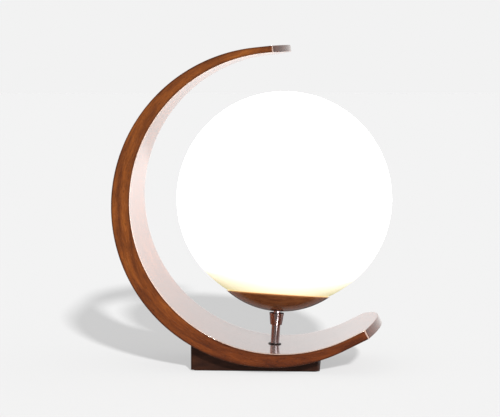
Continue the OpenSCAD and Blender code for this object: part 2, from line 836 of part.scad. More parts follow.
crescent_arc();
base_block();
base_cover();
cover_screws();
base_felt();
arc_screws();
cord_bush();
terminal_block();
terminal_screws();
terminal_fixing();
threaded_tube();
stem_sleeve();
stem_washer();
lock_washer();
stem_nut();
base_lead();
swivel_cone();
pivot_screws();
friction_washer();
ball_stud();
cup();
gallery_plate();
spring_clips();
clip_rivets();
stud_washer();
stud_nut();
holder_cap();
holder_body();
holder_core();
holder_shell();
holder_contact();
holder_terminals();
head_lead();
globe();
bulb_cap();
bulb_insulator();
bulb_tip();
bulb_collar();
led_board();
bulb_envelope();
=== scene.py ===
import json
import math

import bpy
import bmesh
import numpy as np
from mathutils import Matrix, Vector


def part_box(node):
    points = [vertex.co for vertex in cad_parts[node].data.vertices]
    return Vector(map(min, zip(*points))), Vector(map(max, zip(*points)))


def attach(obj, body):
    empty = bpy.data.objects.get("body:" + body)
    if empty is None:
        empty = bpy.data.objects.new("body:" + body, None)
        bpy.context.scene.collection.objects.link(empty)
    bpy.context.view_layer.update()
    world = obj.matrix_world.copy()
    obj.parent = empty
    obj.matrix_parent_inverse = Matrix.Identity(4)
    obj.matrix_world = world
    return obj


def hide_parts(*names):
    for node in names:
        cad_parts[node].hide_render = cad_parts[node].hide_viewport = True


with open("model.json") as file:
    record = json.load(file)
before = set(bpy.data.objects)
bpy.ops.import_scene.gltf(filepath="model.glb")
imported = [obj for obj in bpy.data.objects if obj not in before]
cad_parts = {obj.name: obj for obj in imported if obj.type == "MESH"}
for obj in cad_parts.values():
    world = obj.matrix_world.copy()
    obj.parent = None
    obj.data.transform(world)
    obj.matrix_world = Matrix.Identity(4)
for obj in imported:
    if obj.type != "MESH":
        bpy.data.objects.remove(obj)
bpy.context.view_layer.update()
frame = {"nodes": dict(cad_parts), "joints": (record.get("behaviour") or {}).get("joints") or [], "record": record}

# Crescent table lamp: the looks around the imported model, in metres, +Z up and the front towards -Y
scene = bpy.context.scene
scene.view_settings.view_transform = "Standard"

# The head's axes and the globe's centre, read from the joints
joints = {joint["name"]: joint for joint in frame["joints"]}
sideAxis = np.array(joints["head_tilt"]["axis"])
headAxis = np.array(joints["globe_lift"]["axis"])
globeCentre = np.array(joints["bulb_turn"]["pos_m"])


# Camera

camera = {
    "place": (0.0843, -1.5092, 0.2709),
    "yaw": 3.467,  # degrees to the left of +Y
    "pitch": -4.746,  # degrees above the horizon
    "focalPixels": 1636.2,  # in a picture that is 500 pixels wide
    "pictureWidth": 500,
    "sensor": 36.0,
    "clipEnd": 100.0,
}


def placeCamera(c):
    # the lens is the focal length in pixels, as a share of the picture's width, times the sensor
    data = bpy.data.cameras.new("photoCamera")
    data.sensor_width = c["sensor"]
    data.sensor_fit = "HORIZONTAL"
    data.lens = c["focalPixels"] / c["pictureWidth"] * c["sensor"]
    data.clip_end = c["clipEnd"]
    eye = bpy.data.objects.new("photoCamera", data)
    eye.location = c["place"]
    eye.rotation_euler = (math.radians(90 + c["pitch"]), 0, math.radians(c["yaw"]))
    scene.collection.objects.link(eye)
    scene.camera = eye


placeCamera(camera)
print("camera")


# Nodes

def hexToLinear(colour):
    # sRGB hex to linear RGBA
    channels = np.array([int(colour[i:i + 2], 16) for i in (1, 3, 5)]) / 255.0
    linear = np.where(channels <= 0.04045, channels / 12.92, ((channels + 0.055) / 1.055) ** 2.4)
    return (*linear.tolist(), 1.0)


def addNode(tree, kind, settings=None, inputs=None, stops=()):
    # one node: settings are its own properties, inputs are values or the sockets that feed it, and stops are the
    # (position, hex) places of a colour ramp, in rising order
    node = tree.nodes.new(kind)
    for name, value in (settings or {}).items():
        setattr(node, name, value)
    for socket, value in (inputs or {}).items():
        if isinstance(value, bpy.types.NodeSocket):
            tree.links.new(value, node.inputs[socket])
        else:
            node.inputs[socket].default_value = value
    for i, (position, colour) in enumerate(stops):
        elements = node.color_ramp.elements
        element = elements[i] if i < len(elements) else elements.new(position)
        element.position = position
        element.color = hexToLinear(colour)
    return node


def newMaterial(name, sockets):
    # one Principled shader on the output, with what is the same all over the surface set on its own sockets
    material = bpy.data.materials.new(name)
    material.use_nodes = True
    tree = material.node_tree
    tree.nodes.clear()
    shader = addNode(tree, "ShaderNodeBsdfPrincipled", None, sockets)
    addNode(tree, "ShaderNodeOutputMaterial", None, {"Surface": shader.outputs["BSDF"]})
    return material, tree, shader


# settings that several nodes share
smooth = {"interpolation_type": "SMOOTHSTEP"}
multiplied = {"data_type": "RGBA", "blend_type": "MULTIPLY"}
covered = {"data_type": "RGBA", "blend_type": "MIX"}


# Studio

studio = {
    "ambient": 0.66,
    "backdrop": "#f2f2f2",
    "mirrored": "#fffbfa",  # the backdrop as polished faces see it
    "room": "#625b58",  # the darker room behind the camera, seen in polished faces
    "window": 2.4,  # brightness of a low, wide window in that room, to the right of the camera
    "windowWay": (0.906, -0.423, 0.0),
    "zones": {  # where each part of the mirrored room begins and where it is full, on a heading of length 1
        "across": (0.66, 0.8),  # the window, by the heading's share along windowWay
        "above": (-0.28, -0.16),  # its lower edge, by height
        "below": (0.2, 0.1),  # its upper edge, by height
        "ahead": (-0.1, 0.45),  # the backdrop, by how far the heading leads away from the camera
        "level": (-0.19, -0.1),  # its lower edge, by height
    },
    "sunStrength": 2.05,
    "sunTravel": (-0.53, 1.74, -1.0),  # the way the key light travels
    "sunSoftness": 4.0,  # degrees
    "floorSize": 40.0,
    "floorColour": "#767676",  # what the floor takes of the light
    "floorGlow": "#bbbbbb",  # and what it gives as a lit panel, which keeps its shadows pale
    "floorSun": 8.0,  # strength of a second sun on the floor alone, which keeps them clear
}


def setWorld(s):
    # a white dome gives the light; the camera sees the pale backdrop, and polished faces see the room and its window
    world = bpy.data.worlds.new("paleStudio")
    scene.world = world
    world.use_nodes = True
    tree = world.node_tree
    tree.nodes.clear()
    path = addNode(tree, "ShaderNodeLightPath")
    heading = addNode(tree, "ShaderNodeTexCoord").outputs["Generated"]
    way = addNode(tree, "ShaderNodeSeparateXYZ", None, {0: heading})
    share = addNode(tree, "ShaderNodeVectorMath", {"operation": "DOT_PRODUCT"}, {0: heading, 1: s["windowWay"]})
    readings = {"across": share.outputs["Value"], "above": way.outputs["Z"], "below": way.outputs["Z"],
                "ahead": way.outputs["Y"], "level": way.outputs["Z"]}

    zone = {}
    for name, (begins, full) in s["zones"].items():
        zone[name] = addNode(tree, "ShaderNodeMapRange", smooth,
                             {"Value": readings[name], "From Min": begins, "From Max": full}).outputs[0]
    for name, first, second in (("pane", "above", "below"), ("pane", "across", "pane"), ("away", "ahead", "level")):
        zone[name] = addNode(tree, "ShaderNodeMath", {"operation": "MULTIPLY"},
                             {0: zone[first], 1: zone[second]}).outputs[0]
    seen = path.outputs["Is Camera Ray"]
    for ray in ("Is Glossy Ray", "Is Transmission Ray"):
        seen = addNode(tree, "ShaderNodeMath", {"operation": "MAXIMUM"}, {0: seen, 1: path.outputs[ray]}).outputs[0]

    light = {}
    for name, colour, strength in (("dome", "#ffffff", s["ambient"]), ("window", "#ffffff", s["window"]),
                                   ("room", s["room"], 1.0), ("mirrored", s["mirrored"], 1.0),
                                   ("backdrop", s["backdrop"], 1.0)):
        light[name] = addNode(tree, "ShaderNodeBackground", None,
                              {"Color": hexToLinear(colour), "Strength": strength}).outputs[0]
    for name, factor, first, second in (("inside", zone["pane"], "room", "window"),
                                        ("glossy", zone["away"], "inside", "mirrored"),
                                        ("shown", path.outputs["Is Camera Ray"], "glossy", "backdrop"),
                                        ("all", seen, "dome", "shown")):
        light[name] = addNode(tree, "ShaderNodeMixShader", None,
                              {0: factor, 1: light[first], 2: light[second]}).outputs[0]
    addNode(tree, "ShaderNodeOutputWorld", None, {"Surface": light["all"]})


def addSun(name, strength, s):
    # a sun that shines along sunTravel
    data = bpy.data.lights.new(name, "SUN")
    data.energy = strength
    data.angle = math.radians(s["sunSoftness"])
    sun = bpy.data.objects.new(name, data)
    sun.rotation_euler = Vector(s["sunTravel"]).to_track_quat("-Z", "Y").to_euler()
    scene.collection.objects.link(sun)
    return sun


def layFloor(s):
    # a flat square round the origin, in matt paint that mirrors nothing
    half = s["floorSize"] / 2
    mesh = bpy.data.meshes.new("paleFloor")
    mesh.from_pydata([(-half, -half, 0), (half, -half, 0), (half, half, 0), (-half, half, 0)], [], [(0, 1, 2, 3)])
    mesh.materials.append(newMaterial("mattFloorPaint", {
        "Base Color": hexToLinear(s["floorColour"]), "Roughness": 1.0, "Specular IOR Level": 0.0,
        "Emission Color": hexToLinear(s["floorGlow"]), "Emission Strength": 1.0})[0])
    floor = bpy.data.objects.new("paleFloor", mesh)
    scene.collection.objects.link(floor)
    floor.visible_glossy = False  # polished faces mirror the room, not the floor
    return floor


setWorld(studio)
addSun("keySun", studio["sunStrength"], studio)
paleFloor = layFloor(studio)

floorAlone = bpy.data.collections.new("floorAlone")
floorAlone.objects.link(paleFloor)
addSun("floorSun", studio["floorSun"], studio).light_linking.receiver_collection = floorAlone

# the lamp's glow leaves the floor alone, so that it stays as pale as the backdrop
floorApart = bpy.data.collections.new("floorOutOfTheGlow")
floorApart.objects.link(paleFloor)
for entry in floorApart.collection_objects:
    entry.light_linking.link_state = "EXCLUDE"
print("studio: dome, suns and floor")


# Materials

fieldMiddle = (0.3, 0.7)  # nearly all values of a pattern lie between these


def pattern(tree, place, cell, detail, rough=0.55, warp=0.0):
    # a cloudy field from 0 to 1: the place is counted in cells of a real size, in metres, and the count read as noise
    counted = addNode(tree, "ShaderNodeMapping", None, {"Vector": place, "Scale": tuple(1.0 / size for size in cell)})
    return addNode(tree, "ShaderNodeTexNoise", None, {
        "Vector": counted.outputs["Vector"], "Scale": 1.0, "Detail": detail,
        "Roughness": rough, "Distortion": warp}).outputs["Fac"]


def surface(tree, shader, tone, relief, depth, roughness=None):
    # the tone is the colour, and one pattern is both the relief and, where a range is given, the roughness
    raised = addNode(tree, "ShaderNodeBump", None, {"Height": relief, "Distance": depth, "Strength": 1.0})
    tree.links.new(tone, shader.inputs["Base Color"])
    tree.links.new(raised.outputs["Normal"], shader.inputs["Normal"])
    if roughness:
        shine = addNode(tree, "ShaderNodeMapRange", None, {
            "Value": relief, "From Min": fieldMiddle[0], "From Max": fieldMiddle[1],
            "To Min": roughness[0], "To Max": roughness[1]})
        tree.links.new(shine.outputs[0], shader.inputs["Roughness"])


# what all the woods share: each pattern's detail, roughness and warp, and the tones that the stain is multiplied by
stainField = (3.0, 0.6, 0.4)
grainFields = {
    "fibre": ((4.0, 0.65, 0.0), [(0.3, "#9a8a80"), (0.5, "#e6e0dc"), (0.72, "#ffffff")]),
    "pore": ((2.0, 0.5, 0.0), [(0.28, "#5a4a42"), (0.4, "#ffffff")]),
    "figure": ((2.0, 0.5, 0.6), [(0.3, "#ffffff"), (0.44, "#8f7a6c"), (0.5, "#e9e2dd"), (0.6, "#ffffff"),
                                 (0.68, "#a18e82"), (0.74, "#ffffff")]),
}

# cell sizes in metres: along the grain, then across it. Walnut's fibres are about 0.03 mm thick and its pores 0.2 mm
# wide, and both are drawn coarser, in bundles of about 1 mm and pores of 0.5 to 0.9 mm, so that they show
bandLook = {
    "follows": "grain",  # the pattern bends with the band
    "blotch": (0.03, 0.007, 0.008),  # the stain took unevenly, in streaks of about 30 by 8 mm
    "stain": [(0.28, "#6c330c"), (0.45, "#894811"), (0.6, "#9d5516"), (0.78, "#ae661f")],
    "fibre": (0.007, 0.0011, 0.0011),
    "fibreShow": 0.45,
    "pore": (0.0032, 0.0009, 0.0009),
    "poreShow": 0.5,
    "figure": (0.16, 0.014, 0.006),  # growth lines 6 to 14 mm apart
    "figureShow": 0.45,
    "towardsFoot": (0.12, 0.42),  # darker along the band towards the foot
    "towardsFootTint": "#ccb4a8",
    "edge": (0.0002, 0.0022),  # painted shade: a dark line along the edges of the front and back
    "edgeStain": "#2c1206",
    "edgeShow": 0.7,
    "endTint": "#94806f",  # the end grain drinks more stain
    "bareCoat": 0.2,  # lacquer left on the edges and the end grain
    "paintedHighlight": (0.0002, 0.0007),  # painted highlight: the inner edges and the ends' upright corners are painted pale, where the eased edges catch light
    "paintedHighlightColour": "#eed0be",
    "paintedHighlightShow": 0.6,
    "grainDepth": 0.00002,  # 0.02 mm of grain is felt through the lacquer
    "roughness": (0.2, 0.3),
    "sockets": {"IOR": 1.4, "Sheen Weight": 0.25, "Sheen Roughness": 0.35,
                "Coat Weight": 1.0, "Coat Roughness": 0.1, "Coat IOR": 1.7},
}
cupLook = {
    "follows": "grain",  # the pattern tips with the head
    "blotch": (0.025, 0.009, 0.009),  # streaks of about 25 by 9 mm
    "stain": [(0.28, "#704026"), (0.5, "#935a35"), (0.75, "#b17145")],
    "fibre": (0.014, 0.001, 0.001),
    "fibreShow": 0.35,
    "pore": (0.004, 0.0005, 0.0005),
    "poreShow": 0.3,
    "figure": (0.08, 0.007, 0.012),  # growth lines 7 to 12 mm apart
    "figureShow": 0.3,
    "edge": (0.0006, 0.002),  # painted highlight: the rim is painted paler, where the globe's light catches it
    "edgeStain": "#c88450",
    "edgeShow": 0.9,
    "grainDepth": 0.00002,
    "roughness": (0.25, 0.36),
    "sockets": {"IOR": 1.4, "Coat Weight": 1.0, "Coat Roughness": 0.04, "Coat IOR": 1.5},
}
footLook = {
    "blotch": (0.03, 0.009, 0.009),  # streaks of about 30 by 9 mm
    "stain": [(0.25, "#27120a"), (0.5, "#3a1d0f"), (0.75, "#4c2813")],
    "fibre": (0.016, 0.001, 0.001),
    "fibreShow": 0.4,
    "pore": (0.005, 0.0005, 0.0005),
    "poreShow": 0.3,
    "figure": (0.12, 0.006, 0.01),  # growth lines 6 to 10 mm apart
    "figureShow": 0.3,
    "grainDepth": 0.00003,  # the satin lacquer is thinner, so the grain stands 0.03 mm proud
    "roughness": (0.35, 0.5),
    "sockets": {"IOR": 1.3, "Coat Weight": 0.2, "Coat Roughness": 0.25, "Coat IOR": 1.4},
}


def lacqueredWood(name, look):
    # stained walnut under lacquer: blotchy stain, long figure lines, fine fibres and pores, a clear reflection
    material, tree, shader = newMaterial(name, look["sockets"])
    if "follows" in look:
        place = addNode(tree, "ShaderNodeAttribute", {"attribute_name": look["follows"]}).outputs["Vector"]
    else:
        place = addNode(tree, "ShaderNodeTexCoord").outputs["Object"]
    blotch = pattern(tree, place, look["blotch"], *stainField)
    stain = addNode(tree, "ShaderNodeValToRGB", None, {"Fac": blotch}, look["stain"]).outputs["Color"]
    fields = {}
    for part, (kind, tones) in grainFields.items():
        fields[part] = pattern(tree, place, look[part], *kind)
        tone = addNode(tree, "ShaderNodeValToRGB", None, {"Fac": fields[part]}, tones).outputs["Color"]
        stain = addNode(tree, "ShaderNodeMix", multiplied,
                        {"Factor": look[part + "Show"], "A": stain, "B": tone}).outputs["Result"]
    # darker along the band towards the foot
    if "towardsFoot" in look:
        along = addNode(tree, "ShaderNodeSeparateXYZ", None, {0: place}).outputs["X"]
        down = addNode(tree, "ShaderNodeMapRange", smooth, {
            "Value": along, "From Min": look["towardsFoot"][0], "From Max": look["towardsFoot"][1]}).outputs[0]
        stain = addNode(tree, "ShaderNodeMix", multiplied,
                        {"Factor": down, "A": stain, "B": hexToLinear(look["towardsFootTint"])}).outputs["Result"]
    # painted light along the edges: a painted shade line on the band's front and back edges, a painted highlight on the
    # cup's rim
    if "edge" in look:
        rim = addNode(tree, "ShaderNodeAttribute", {"attribute_name": "rim"}).outputs["Fac"]
        near = addNode(tree, "ShaderNodeMapRange", smooth, {
            "Value": rim, "From Min": look["edge"][0], "From Max": look["edge"][1],
            "To Min": look["edgeShow"], "To Max": 0.0}).outputs[0]
        stain = addNode(tree, "ShaderNodeMix", covered,
                        {"Factor": near, "A": stain, "B": hexToLinear(look["edgeStain"])}).outputs["Result"]
    # the end grain takes a darker tint and less lacquer; its larger share on the upper end is painted shade
    if "endTint" in look:
        endGrainAndShade = addNode(tree, "ShaderNodeAttribute", {"attribute_name": "endGrainAndShade"}).outputs["Fac"]
        stain = addNode(tree, "ShaderNodeMix", multiplied,
                        {"Factor": endGrainAndShade, "A": stain, "B": hexToLinear(look["endTint"])}).outputs["Result"]
        bare = addNode(tree, "ShaderNodeMath", {"operation": "MAXIMUM"}, {0: endGrainAndShade, 1: near}).outputs[0]
        lacquer = addNode(tree, "ShaderNodeMapRange", None, {
            "Value": bare, "To Min": look["sockets"]["Coat Weight"], "To Max": look["bareCoat"]}).outputs[0]
        tree.links.new(lacquer, shader.inputs["Coat Weight"])
    # painted highlight: pale lines on the band's inner edges and end corners, where the eased edges catch light
    if "paintedHighlight" in look:
        highlightReach = addNode(tree, "ShaderNodeAttribute", {"attribute_name": "highlightReach"}).outputs["Fac"]
        paintedHighlight = addNode(tree, "ShaderNodeMapRange", smooth, {
            "Value": highlightReach, "From Min": look["paintedHighlight"][0], "From Max": look["paintedHighlight"][1],
            "To Min": look["paintedHighlightShow"], "To Max": 0.0}).outputs[0]
        stain = addNode(tree, "ShaderNodeMix", covered,
                        {"Factor": paintedHighlight, "A": stain, "B": hexToLinear(look["paintedHighlightColour"])}).outputs["Result"]
    surface(tree, shader, stain, fields["fibre"], look["grainDepth"], look["roughness"])
    return material


# tool marks are about 0.02 mm apart, and are drawn 0.2 to 0.9 mm apart, so that they show
metalPatch = (0.012, 0.012, 0.012)  # handled and dulled in patches of about 12 mm
metals = {
    "chrome": {"name": "polishedChrome", "colour": "#f2e4e7", "dulled": "#e2d3d6", "edgeTint": "#7c6a6a",
               "roughness": (0.09, 0.14), "marks": (0.002, 0.002, 0.0002), "depth": 0.000001},
    "steel": {"name": "zincPlatedSteel", "colour": "#a3a6a8", "dulled": "#8d9092", "edgeTint": "#ffffff",
              "roughness": (0.28, 0.45), "marks": (0.0008, 0.0008, 0.0003), "depth": 0.000004},
    "brass": {"name": "turnedBrass", "colour": "#c9a24a", "dulled": "#b08836", "edgeTint": "#ffffff",
              "roughness": (0.2, 0.36), "marks": (0.0009, 0.0009, 0.0002), "depth": 0.000004},
    "dark_washer": {"name": "blackOxideSteel", "colour": "#2a2522", "dulled": "#1c1917", "edgeTint": "#ffffff",
                    "roughness": (0.35, 0.5), "marks": (0.0006, 0.0006, 0.0006), "depth": 0.000004},
}


def platedMetal(look):
    # plated or turned metal: its own colour, fine tool marks in the roughness and a slight dulling in patches
    material, tree, shader = newMaterial(
        look["name"], {"Metallic": 1.0, "Specular Tint": hexToLinear(look["edgeTint"])})
    place = addNode(tree, "ShaderNodeTexCoord").outputs["Object"]
    patch = pattern(tree, place, metalPatch, 3.0)
    tone = addNode(tree, "ShaderNodeValToRGB", None, {"Fac": patch}, [(0.3, look["dulled"]), (0.65, look["colour"])])
    marks = pattern(tree, place, look["marks"], 2.0)
    surface(tree, shader, tone.outputs["Color"], marks, look["depth"], look["roughness"])
    return material


# a mould's spark texture has a grit of about 0.1 mm, and is drawn 0.4 to 0.8 mm, so that it shows
flowMottle = (0.02, 0.02, 0.02)  # the melt's streams cooled in clouds of about 20 mm
plastics = {
    "black_plastic": {"name": "mouldedPhenolic", "colour": "#1d1c1c", "shade": "#151414",
                      "roughness": (0.35, 0.5), "grit": 0.0005, "depth": 0.00004},
    "cream_plastic": {"name": "mouldedNylon", "colour": "#e2dbc9", "shade": "#d8d0bc",
                      "roughness": (0.4, 0.55), "grit": 0.0005, "depth": 0.00003},
    "lead_pvc": {"name": "extrudedPvc", "colour": "#dcd6c6", "shade": "#d0c9b8",
                 "roughness": (0.35, 0.45), "grit": 0.0008, "depth": 0.00002},
    "porcelain": {"name": "unglazedPorcelain", "colour": "#e8e2d4", "shade": "#dbd4c4",
                  "roughness": (0.6, 0.75), "grit": 0.0004, "depth": 0.00005},
    "bulb_diffuser": {"name": "frostedDiffuser", "colour": "#f6f2e6", "shade": "#eee9da",
                      "roughness": (0.45, 0.6), "grit": 0.0006, "depth": 0.00002},
}


def mouldedPlastic(look):
    # moulded or pressed surface: fine spark texture and a faint flow mottle
    material, tree, shader = newMaterial(look["name"], None)
    place = addNode(tree, "ShaderNodeTexCoord").outputs["Object"]
    flow = pattern(tree, place, flowMottle, 2.0)
    tone = addNode(tree, "ShaderNodeValToRGB", None, {"Fac": flow}, [(0.3, look["shade"]), (0.7, look["colour"])])
    spark = pattern(tree, place, (look["grit"],) * 3, 2.0)
    surface(tree, shader, tone.outputs["Color"], spark, look["depth"], look["roughness"])
    return material


feltLook = {
    "tuft": (0.0012, 0.0005, 0.0005),  # wool fibres are 0.02 mm thick: drawn as 0.5 mm tufts, so that they show
    "tuftDepth": 0.0003,
    "tones": [(0.3, "#0e0c0c"), (0.7, "#2a2523")],
    "sockets": {"Roughness": 1.0, "Sheen Weight": 0.3, "Sheen Roughness": 0.5},
}


def pressedFelt(look):
    # wool felt: matt, matted fibres in all directions, a soft sheen at the edge
    material, tree, shader = newMaterial("pressedFelt", look["sockets"])
    place = addNode(tree, "ShaderNodeTexCoord").outputs["Object"]
    tufts = pattern(tree, place, look["tuft"], 4.0, 0.7, 1.0)
    tone = addNode(tree, "ShaderNodeValToRGB", None, {"Fac": tufts}, look["tones"])
    surface(tree, shader, tone.outputs["Color"], tufts, look["tuftDepth"])
    return material


opalLook = {
    "heights": (-0.09, -0.04),  # over the globe's centre, along the head's axis
    "glow": [(0.03, "#605e3c"), (0.2, "#6e6d57"), (0.32, "#807e6e"), (0.6, "#cbc8bf"), (1.0, "#fffefb")],
    "ripple": (0.04, 0.04, 0.06),  # blown glass waves over 40 to 60 mm
    "rippleDepth": 0.0004,
    "body": [(0.3, "#f4f1e8"), (0.7, "#fbf9f2")],
    "sockets": {"Emission Strength": 3.8, "Roughness": 0.12, "IOR": 1.5},
}


def litOpal(look):
    # opal blown glass with the bulb lit: a milky body that glows, white at the bulb and dimmer and warmer by the cup
    material, tree, shader = newMaterial("litOpalGlass", look["sockets"])
    place = addNode(tree, "ShaderNodeAttribute", {"attribute_name": "grain"}).outputs["Vector"]
    height = addNode(tree, "ShaderNodeSeparateXYZ", None, {0: place}).outputs["Z"]
    share = addNode(tree, "ShaderNodeMapRange", None, {
        "Value": height, "From Min": look["heights"][0], "From Max": look["heights"][1]}).outputs[0]
    glow = addNode(tree, "ShaderNodeValToRGB", None, {"Fac": share}, look["glow"]).outputs["Color"]
    tree.links.new(glow, shader.inputs["Emission Color"])
    ripple = pattern(tree, place, look["ripple"], 2.0)
    body = addNode(tree, "ShaderNodeValToRGB", None, {"Fac": ripple}, look["body"]).outputs["Color"]
    surface(tree, shader, body, ripple, look["rippleDepth"])
    return material


finishes = {
    "walnut": lacqueredWood("lacqueredWalnut", bandLook),
    "cupWalnut": lacqueredWood("turnedWalnut", cupLook),
    "dark_walnut": lacqueredWood("darkStainedWalnut", footLook),
    "opal_glass": litOpal(opalLook),
    "felt": pressedFelt(feltLook),
}
finishes.update({slot: platedMetal(look) for slot, look in metals.items()})
finishes.update({slot: mouldedPlastic(look) for slot, look in plastics.items()})

for part in frame["record"]["subparts"]:
    node = frame["nodes"][part["node"]]
    node.data.materials.clear()
    node.data.materials.append(finishes[part["material_slot"]])
print("materials:", len(finishes))


# Surfaces

weldDistance = 2e-6


def gridFaces(rows, columns, closed):
    # quads of a grid of points, row by row; closed joins the last column to the first
    row = np.arange(rows - 1)[:, None]
    column = np.arange(columns if closed else columns - 1)[None, :]
    after = (column + 1) % columns
    corners = (row * columns + column, row * columns + after, (row + 1) * columns + after, (row + 1) * columns + column)
    return np.stack([np.broadcast_to(c, (rows - 1, column.size)) for c in corners], axis=-1).reshape(-1, 4)


def buildPiece(name, patches, grainOf, marksOf=None):
    # joins grids of points into one closed mesh, with the wood or glass pattern's own coordinates on each vertex
    points, faces, count = [], [], 0
    for grid, closed in patches:
        rows, columns = grid.shape[:2]
        points.append(grid.reshape(-1, 3))
        faces.append(gridFaces(rows, columns, closed) + count)
        count += rows * columns
    mesh = bpy.data.meshes.new(name)
    mesh.from_pydata(np.concatenate(points).tolist(), [], np.concatenate(faces).tolist())
    work = bmesh.new()
    work.from_mesh(mesh)
    bmesh.ops.remove_doubles(work, verts=work.verts, dist=weldDistance)
    bmesh.ops.dissolve_degenerate(work, edges=work.edges, dist=weldDistance)
    bmesh.ops.recalc_face_normals(work, faces=work.faces)
    work.to_mesh(mesh)
    work.free()
    mesh.shade_smooth()
    where = np.empty(len(mesh.vertices) * 3, np.float32)
    mesh.vertices.foreach_get("co", where)
    where = where.reshape(-1, 3)
    grain = mesh.attributes.new("grain", "FLOAT_VECTOR", "POINT")
    grain.data.foreach_set("vector", grainOf(where).astype(np.float32).ravel())
    for mark, values in (marksOf(where) if marksOf else {}).items():
        mesh.attributes.new(mark, "FLOAT", "POINT").data.foreach_set("value", values.astype(np.float32))
    piece = bpy.data.objects.new(name, mesh)
    scene.collection.objects.link(piece)
    return piece


def dress(piece, node, finish, body):
    # gives a new piece its finish and the body that it moves with, and hides the node that it stands for
    piece.data.materials.append(finishes[finish])
    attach(piece, body)
    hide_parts(node)
    return piece


# Crescent band

band = {
    "outerR": 0.144,
    "innerR": 0.135,
    "innerShift": np.array([0.0079, 0.0036]),  # from the outer circle's centre to the inner circle's
    "topBend": math.radians(96.0),  # where the circles let go and the straight runs start
    "topRun": 0.0075,
    "rightBend": math.radians(297.0),
    "rightRun": 0.0163,
    "endBow": 0.0146,
    "bowMargin": 0.001,  # the bow's circle runs this far past the front and back faces
    "edgeR": 0.0005,
    "cornerR": 0.0012,  # the upright corners at the ends are eased more than the long edges
    "edgeTurn": 6.0,  # how much faster the painted shade line along the edges fades on the inner and outer faces
    "highlightTurn": 0.3,  # and how much slower the painted highlight line does on the inner face
    "highlightShare": 0.7,  # share of an upright corner's rounding that carries the painted highlight
    "topHighlight": 0.00045,  # the upper end's corners get a fainter painted highlight than the right end's
    "sawnShare": 0.3,  # share of that rounding that still counts as the end face
    "rightEndTintShare": 0.45,  # the right end takes less of the end tint and loses less lacquer: painted shade on the upper end, which gets less light
    "stations": 240,
    "acrossDepth": 36,
    "acrossRise": 10,
    "edgeSteps": 4,
    "cornerSteps": 8,
}
bandLow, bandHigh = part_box("crescent_arc")
bandOuter = np.array([bandLow.x + band["outerR"], bandLow.z + band["outerR"]])
bandInner = bandOuter + band["innerShift"]
bandHalf = (bandHigh.y - bandLow.y) / 2
bandArc = band["innerR"] * (band["rightBend"] - band["topBend"])


def wayOut(angle):
    # the direction at an angle: its cosine to the right and its sine up
    return np.stack([np.cos(angle), np.sin(angle)], axis=-1)


def bandBow(depth):
    # how far an end reaches past its corners' line at a depth: the bow, less the drop of its circle there
    half = bandHalf + band["bowMargin"]
    bowR = (half ** 2 + band["endBow"] ** 2) / (2 * band["endBow"])
    return band["endBow"] - bowR + np.sqrt(bowR ** 2 - depth ** 2)


def bandFace(length):
    # a point of the inner face and its way out, at a length along it from the upper bend: the inner circle's point
    # at the angle of length over radius, and past either bend straight on along the circle's tangent
    onArc = np.clip(length, 0.0, bandArc)
    angle = band["topBend"] + onArc / band["innerR"]
    out = wayOut(angle)
    onward = np.stack([-out[..., 1], out[..., 0]], axis=-1)
    return bandInner + band["innerR"] * out + (length - onArc)[..., None] * onward, out


def bandThickness(length):
    # from the inner face along its way out to the outer circle, as the root of a quadratic, or past a bend to the
    # plane that leaves the circle there
    face, out = bandFace(length)
    away = face - bandOuter
    along = (away * out).sum(axis=-1)
    thick = -along + np.sqrt(along ** 2 - (away ** 2).sum(axis=-1) + band["outerR"] ** 2)
    for bend, side, near in (("topBend", -1, length < bandArc / 2), ("rightBend", 1, length > bandArc / 2)):
        plane = wayOut(np.array(band[bend]))
        onward = side * np.array([-plane[1], plane[0]])
        past = (away + thick[..., None] * out) @ onward > 0
        flat = (band["outerR"] - away @ plane) / (out @ plane + 1e-9)  # never divides by zero
        thick = np.where(near & past, flat, thick)
    return thick


def bandPoint(share, depth, base, lift):
    # share runs from the upper end to the right end; base is 0 at the inner face and 1 at the outer one,
    # each less the edge's rounding, and lift is the way out from there
    edge = band["edgeR"]
    bow = bandBow(depth)
    first, last = -band["topRun"] - bow, bandArc + band["rightRun"] + bow
    length = first + share * (last - first)
    face, out = bandFace(length)
    rise = edge + base * (bandThickness(length) - 2 * edge) + lift
    place = face + rise[..., None] * out
    return np.stack([place[..., 0], depth + 0 * rise, place[..., 1]], axis=-1)


def roundedLoop(half, edge, across, up, steps):
    # the section's outline: base depth, depth normal, base rise, rise normal, once round from the inner face
    face = np.linspace(-half + edge, half - edge, across + 1)
    side = np.linspace(0.0, 1.0, up + 1)
    turn = np.linspace(0.0, math.pi / 2, steps + 1)[1:-1]
    one, none = np.ones, np.zeros
    n, m, k = across + 1, up + 1, steps - 1
    depth = np.concatenate([face, face[-1] * one(k), face[-1] * one(m), face[-1] * one(k),
                            face[::-1], face[0] * one(k), face[0] * one(m), face[0] * one(k)])
    depthN = np.concatenate([none(n), np.sin(turn), one(m), np.cos(turn),
                             none(n), -np.sin(turn), -one(m), -np.cos(turn)])
    base = np.concatenate([none(n), none(k), side, one(k), one(n), one(k), side[::-1], none(k)])
    riseN = np.concatenate([-one(n), -np.cos(turn), none(m), np.sin(turn),
                            one(n), np.cos(turn), none(m), -np.sin(turn)])
    return depth, depthN, base, riseN


def bandGrain(where):
    # along the band from its upper bend, out from the inner face, and through its depth: angle times radius and
    # distance from the inner centre on the arc, and straight measures past a bend
    away = where[:, [0, 2]] - bandInner
    angle = np.mod(np.arctan2(away[:, 1], away[:, 0]), 2 * math.pi)
    length = band["innerR"] * (angle - band["topBend"])
    rise = np.hypot(*away.T) - band["innerR"]
    for bend, side, start in (("topBend", -1, 0.0), ("rightBend", 1, bandArc)):
        out = wayOut(np.array(band[bend]))
        past = side * (away @ np.array([-out[1], out[0]]))
        onRun = side * (angle - band[bend]) > 0
        length = np.where(onRun, start + side * past, length)
        rise = np.where(onRun, away @ out - band["innerR"], rise)
    return np.stack([length, rise, where[:, 1]], axis=-1)


